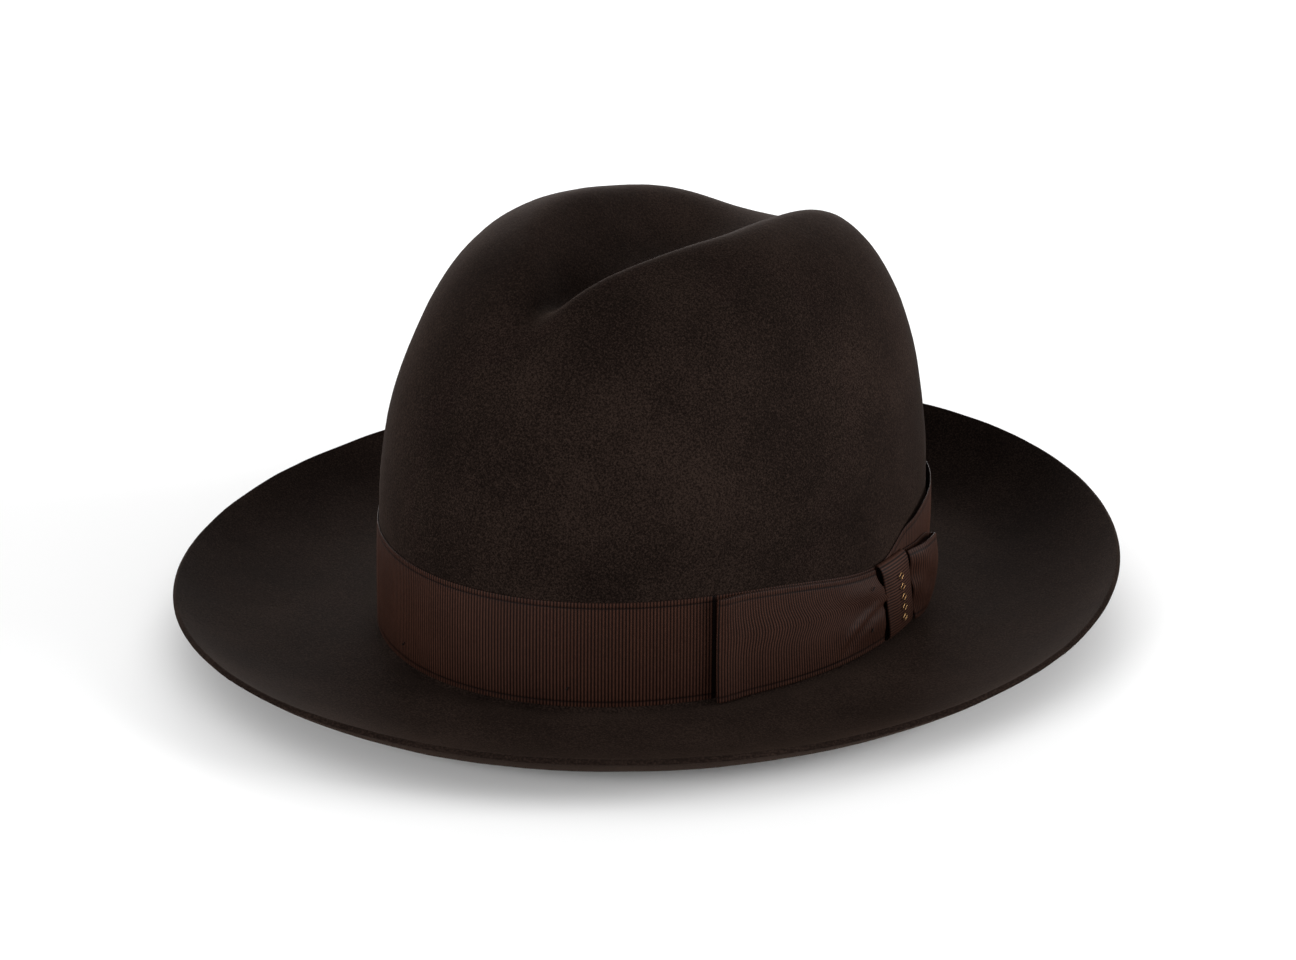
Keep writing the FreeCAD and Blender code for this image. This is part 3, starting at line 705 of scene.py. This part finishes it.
def front_wing():
    def near_knot(v):
        under = bell((v - UNDER_AT) / UNDER_WIDTH)
        return knot_edge(KNOT_FRONT, v) - KNOT_GAP + (UNDER_KNOT + KNOT_GAP) * under

    def high(u):
        return band_top(BOW_FRONT + (KNOT_FRONT - BOW_FRONT) * u) - WING_INSET

    def lift(u, v):
        return FOLD_LIFT * bell(u / FOLD_SHARE) * (1.0 - FOLD_HOLLOW * np.sin(np.pi * v))

    def swell(u, v):
        gather = smooth((u - GATHER_START) / GATHER_RUN)
        pleats = GATHER_PLEAT * gather * np.cos(2.0 * np.pi * (PLEATS_ACROSS * v + PLEAT_LEAN * u))
        from_knot = np.clip(CRESCENT_TIP - u, 0.0, 1.0)
        crest = v - UNDER_AT + CRESCENT_BEND * from_knot ** CRESCENT_CURVE
        ridge = bell(crest / CRESCENT_WIDTH) - TROUGH_DEPTH * bell((crest + TROUGH_OFF) / CRESCENT_WIDTH)
        crescent = ridge * smooth((u - CRESCENT_START) / CRESCENT_RUN)
        return (WING_PUFF + GATHER_PUFF * gather) * np.sin(np.pi * v) + pleats + CRESCENT * crescent

    return folded_wing(
        "bow_wing_front", near_knot, BOW_FRONT,
        lambda u: BOW_LOW + 0 * u, high, lift, swell, FOLD_GAP)


def rear_wing():
    def corner(u):
        return LOOP_ROUND * np.clip(1.0 - u, 0.0, 1.0) ** LOOP_CORNER

    def swell(u, v):
        along = np.sin(np.pi * (PUFF_FOLD + (1.0 - PUFF_FOLD) * u) ** PUFF_CURVE)
        puff = along * np.sin(np.pi * (PUFF_EDGE + (1.0 - 2.0 * PUFF_EDGE) * v))
        gather = smooth((u - LOOP_GATHER_START) / LOOP_GATHER_RUN)
        dent = bell((v - DENT_UP) / DENT_WIDTH) * bell((u - DENT_ALONG) / DENT_LENGTH)
        pleats = LOOP_PLEAT * gather * np.cos(2.0 * np.pi * PLEATS_ACROSS * v)
        return LOOP_BULGE * puff + pleats - LOOP_DENT * dent

    return folded_wing(
        "bow_wing_rear", lambda v: knot_edge(KNOT_BACK, v) + LOOP_KNOT_GAP, BOW_BACK,
        lambda u: LOOP_LOW + corner(u), lambda u: LOOP_HIGH - corner(u),
        lambda u, v: 0 * u * v, swell, LOOP_GAP)


def knot():
    """Strap that wraps the bow's waist, so its ribs lie across it, and its ends turn in over the edges."""
    columns = int((KNOT_HIGH - KNOT_LOW) / RIB_PITCH * POINTS_PER_RIB * KNOT_FINER)
    v = np.linspace(0.0, 1.0, columns)[None, :]
    u = np.linspace(0.0, 1.0, KNOT_ROWS)[:, None]
    turned = np.sqrt(np.clip(1.0 - np.abs(2.0 * v - 1.0) ** KNOT_TURN, 0.0, 1.0))
    crown = KNOT_CROWN * np.sin(np.pi * u) * np.sin(np.pi * v)
    folds = KNOT_FOLD * np.cos(2.0 * np.pi * KNOT_FOLDS * (u + KNOT_LEAN * v)) * np.sin(np.pi * v)
    depth = BOW_FACE + (KNOT_THICKNESS - KNOT_SINK - RIBBON_THICKNESS / 2.0 + crown + folds) * turned
    height = KNOT_LOW + (KNOT_HIGH - KNOT_LOW) * v
    angle = knot_edge(KNOT_FRONT, v) + (KNOT_BACK - KNOT_FRONT) * u
    centre = wall(angle, height + 0 * u, depth + stand_off(angle, height))
    return ribbon("bow_strap", centre[::-1], False)


front_piece = place(front_wing(), "ribbon", "bow_front_wing")
rear_piece = place(rear_wing(), "ribbon", "bow_rear_wing")
knot_piece = place(knot(), "ribbon", "bow_knot")


# ---- leather and lining ------------------------------------------------------------------------------

CAST_INSET = 0.4 * MM          # rays stay this far inside a strip's edges
LEATHER = 1.15 * MM            # its thickness
LEATHER_COLUMNS = 480
LEATHER_LOW, LEATHER_ROWS = 0.88, 20           # share of its height under the embossed line, rows there
LINE_HALF, LINE_ROWS = 0.9 * MM, 7             # rows close together across the line
LEATHER_TOP = (0.955, 0.975, 0.99, 1.0)        # shares of its height over the line
EMBOSSED = 3.5 * MM            # from the leather's top edge to its embossed line
EMBOSSED_DEPTH, EMBOSSED_WIDTH = 0.2 * MM, 0.35 * MM
LEATHER_WAVE = 0.22 * MM
WAVES = ((3.0, 1.0, 0.7), (5.0, 0.7, 2.1), (8.0, 0.5, 4.0))    # number round the hat, height, phase
WAVE_START, WAVE_RUN = 16 * MM, 20 * MM        # above the stitches the leather stands free
SKIVE = 1.6 * MM               # how far under its top edge the leather is thinned
SKIVE_OUTSIDE, SKIVE_INSIDE = 0.3, 0.25 * MM   # share of the thickness outside, and depth inside
PANEL = 0.28 * MM              # thickness of the satin
PANEL_COLUMNS, PANEL_ROWS = 1152, 40
PANEL_STEP = 8                 # one column in this many is read from the CAD body
PLEATS = 72
PLEAT_DEPTH = 0.8 * MM
PLEAT_CREST = 1.6              # power: more makes its crest narrower
PLEAT_UNEVEN = 0.25            # how much their depth varies round the hat
PLEAT_DRIFT = 2.2              # how much their spacing does
DRIFTS = ((7.0, 0.35, 1.0), (11.0, 0.25, 3.0))                 # number round the hat, height, phase
PLEAT_START, PLEAT_RUN = 0.35, 0.5             # shares of the panel's height where the pleats deepen
SEAM_START, SEAM_RUN = 0.93, 0.06              # and where the seam flattens them


def inner_face(node, angles, shares):
    """Points on a closed strip's inner face, at these angles round it and shares of its height up it."""
    tree = node_tree(node)
    low, high = rim(node, False)(angles), rim(node, True)(angles)
    ways = bearing(angles)
    points = np.empty((len(shares), len(angles), 3))
    for row, share in enumerate(shares):
        for column, way in enumerate(ways):
            z = low[column] + (high[column] - low[column]) * share
            level = min(max(z, low[column] + CAST_INSET), high[column] - CAST_INSET)
            radius = tree.ray_cast(Vector((0.0, 0.0, level)), Vector(way))[3]
            if radius is None:
                radius = np.linalg.norm(points[row - 1, column, :2])
            points[row, column] = way * radius + [0.0, 0.0, z]
    return points


def away(angles):
    """Steps outward, one for each column of a strip."""
    return bearing(angles)[None, :, :]


def sweatband():
    """Leather strip: skived top edge, an embossed line under it, and slow waves where it stands free."""
    angles = np.arange(LEATHER_COLUMNS) * 360.0 / LEATHER_COLUMNS
    tall = float(rim("sweatband_leather", True)(np.array([90.0]))[0])
    line = (tall - EMBOSSED + np.linspace(-LINE_HALF, LINE_HALF, LINE_ROWS)) / tall
    shares = np.concatenate([np.linspace(0.0, LEATHER_LOW, LEATHER_ROWS), line, LEATHER_TOP])
    face = inner_face("sweatband_leather", angles, shares)
    height = (shares * tall)[:, None]
    a = np.radians(angles)[None, :]
    waves = sum(tallness * (1.0 + np.cos(number * a + phase)) for number, tallness, phase in WAVES)
    inward = LEATHER_WAVE * waves * smooth((height - WAVE_START) / WAVE_RUN)
    groove = EMBOSSED_DEPTH * bell((height - tall + EMBOSSED) / EMBOSSED_WIDTH)
    skive = smooth((height - tall + SKIVE) / SKIVE)
    outer = face + away(angles) * (LEATHER * (1.0 - SKIVE_OUTSIDE * skive) - inward)[..., None]
    inner = face + away(angles) * (groove + SKIVE_INSIDE * skive - inward)[..., None]
    return slab("leather", outer, inner, True, leather)


def lining_side():
    """Satin strip round the crown, in soft upright pleats that the seam at its top gathers."""
    angles = np.arange(PANEL_COLUMNS) * 360.0 / PANEL_COLUMNS
    shares = np.linspace(0.0, 1.0, PANEL_ROWS)
    coarse = inner_face("lining_side_panel", angles[::PANEL_STEP], shares)
    around = np.concatenate([coarse, coarse[:, :1]], axis=1)
    step = np.arange(PANEL_COLUMNS) / PANEL_STEP
    before = step.astype(int)
    part = (step - before)[None, :, None]
    face = around[:, before] * (1.0 - part) + around[:, before + 1] * part
    a = np.radians(angles)[None, :]
    up = shares[:, None]
    drift = sum(tallness * np.sin(number * a + phase) for number, tallness, phase in DRIFTS)
    crest = 0.5 + 0.5 * np.cos(PLEATS * a + PLEAT_DRIFT * drift)
    gathered = smooth((up - PLEAT_START) / PLEAT_RUN) * (1.0 - smooth((up - SEAM_START) / SEAM_RUN))
    uneven = 1.0 - PLEAT_UNEVEN + PLEAT_UNEVEN * np.sin(5.0 * a + 2.0)
    inward = PLEAT_DEPTH * crest ** PLEAT_CREST * gathered * uneven
    inner = face - away(angles) * inward[..., None]
    outer = face + away(angles) * (PANEL - inward)[..., None]
    return slab("lining_side", outer, inner, True, lining)


def finer(points, triangles):
    """Each triangle in four."""
    pairs = [triangles[:, [0, 1]], triangles[:, [1, 2]], triangles[:, [2, 0]]]
    edges = np.sort(np.concatenate(pairs), axis=1)
    unique, index = np.unique(edges, axis=0, return_inverse=True)
    middles = (points[unique[:, 0]] + points[unique[:, 1]]) / 2.0
    ab, bc, ca = (index.ravel().reshape(3, -1) + len(points))
    a, b, c = triangles.T
    split = [np.stack(t, -1) for t in ((a, ab, ca), (ab, b, bc), (ca, bc, c), (ab, bc, ca))]
    return np.concatenate([points, middles]), np.concatenate(split)


MIDDLE = np.array([0.0, 0.0, 60 * MM])         # of the crown, towards which soft pieces settle
TIP_SETTLE, TIP_CELLS = 1.2 * MM, 34.0
TIP_START, TIP_RUN = 106 * MM, 7 * MM          # the lining's tip settles above its seam
TRIM_SETTLE, TRIM_CELLS = 0.06 * MM, 260.0


def soft_copy(node, name, material, splits, tip=False):
    """A soft piece from its CAD body, settled unevenly inward. All that is on the tip settles together."""
    points, triangles = welded(node)
    for _ in range(splits):
        points, triangles = finer(points, triangles)
    way = MIDDLE - points
    way /= np.linalg.norm(way, axis=1, keepdims=True)
    settle, cells = (TIP_SETTLE, TIP_CELLS) if tip else (TRIM_SETTLE, TRIM_CELLS)
    depth = settle * np.array([0.5 + noise.noise(Vector(p) * cells) for p in points])
    if tip:
        depth = depth * smooth((points[:, 2] - TIP_START) / TIP_RUN)
    return make_object(name, points + way * depth[:, None], triangles, material)


leather_piece = place(sweatband(), "sweatband_leather", "sweatband_leather")
panel_piece = place(lining_side(), "lining", "lining_side_panel")
tip_piece = place(soft_copy("lining_tip", "lining_top", lining, 1, tip=True), "lining", "lining_tip")

# Name, material, splits, whether it is on the tip, slot, CAD node.
COPIES = (
    ("film", film, 1, True, "clear_film", "tip_shield"),
    ("film_stitches", lining_thread, 0, True, "lining_thread", "tip_shield_stitches"),
    ("leather_tape", tape, 1, False, "tape", "sweatband_tape"),
    ("small_bow_loops", trim, 2, False, "trim_ribbon", "sweatband_bow_loops"),
    ("small_bow_knot", trim, 2, False, "trim_ribbon", "sweatband_bow_knot"),
    ("woven_tag", tag, 2, False, "tag", "size_tag"),
    ("lining_cord", piping, 0, False, "piping", "lining_piping"),
)
for name, material, splits, tip, slot, node in COPIES:
    place(soft_copy(node, name, material, splits, tip), slot, node)


# ---- camera, light and floor -------------------------------------------------------------------------

AZIMUTH, ELEVATION, ROLL = math.radians(33.67), math.radians(22.21), math.radians(0.39)
DISTANCE = 1.442
LENS = 117.6
AIM = Vector((-0.0099, 0.0109, 0.0356))
SOFTBOX_ELEVATION = math.radians(14)
SOFTBOX_DISTANCE, SOFTBOX_SIZE = 1.5, 0.8
SOFTBOX_AIM = Vector((0.0, 0.0, 0.05))
# Azimuth in degrees from the front, and power in watts.
SOFTBOXES = {"left": (-6, 19), "right": (114, 27), "back": (214, 17), "back_left": (-116, 4)}
WORLD_STRENGTH = 0.62
FLOOR_HALF, FLOOR_DROP = 6.0, 0.3 * MM


def direction(azimuth, elevation):
    level = math.cos(elevation)
    return Vector((math.sin(azimuth) * level, -math.cos(azimuth) * level, math.sin(elevation)))


def add_camera():
    data = bpy.data.cameras.new("camera")
    data.lens = LENS
    camera = bpy.data.objects.new("camera", data)
    bpy.context.scene.collection.objects.link(camera)
    camera.location = direction(AZIMUTH, ELEVATION) * DISTANCE
    camera.rotation_mode = "QUATERNION"
    look = (AIM - camera.location).to_track_quat("-Z", "Y")
    camera.rotation_quaternion = look @ Quaternion((0, 0, 1), ROLL)
    bpy.context.scene.camera = camera


def add_softbox(name, azimuth, power):
    """Square area light that faces the hat."""
    data = bpy.data.lights.new(name, "AREA")
    data.shape = "SQUARE"
    data.size = SOFTBOX_SIZE
    data.energy = power
    lamp = bpy.data.objects.new(name, data)
    bpy.context.scene.collection.objects.link(lamp)
    lamp.location = direction(math.radians(azimuth), SOFTBOX_ELEVATION) * SOFTBOX_DISTANCE
    lamp.rotation_mode = "QUATERNION"
    lamp.rotation_quaternion = (SOFTBOX_AIM - lamp.location).to_track_quat("-Z", "Y")


def add_floor():
    corners = np.array([[-1, -1, 0], [1, -1, 0], [1, 1, 0], [-1, 1, 0]]) * FLOOR_HALF
    corners[:, 2] = cad_low.z - FLOOR_DROP
    make_object("floor", corners, np.array([[0, 1, 2, 3]]), floor_material())


def add_world():
    world = bpy.data.worlds.new("studio")
    world.use_nodes = True
    background = world.node_tree.nodes["Background"]
    background.inputs["Color"].default_value = (1.0, 1.0, 1.0, 1.0)
    background.inputs["Strength"].default_value = WORLD_STRENGTH
    bpy.context.scene.world = world


add_camera()
add_floor()
add_world()
for name, (azimuth, power) in SOFTBOXES.items():
    add_softbox("softbox_" + name, azimuth, power)
bpy.context.scene.view_settings.view_transform = "Standard"
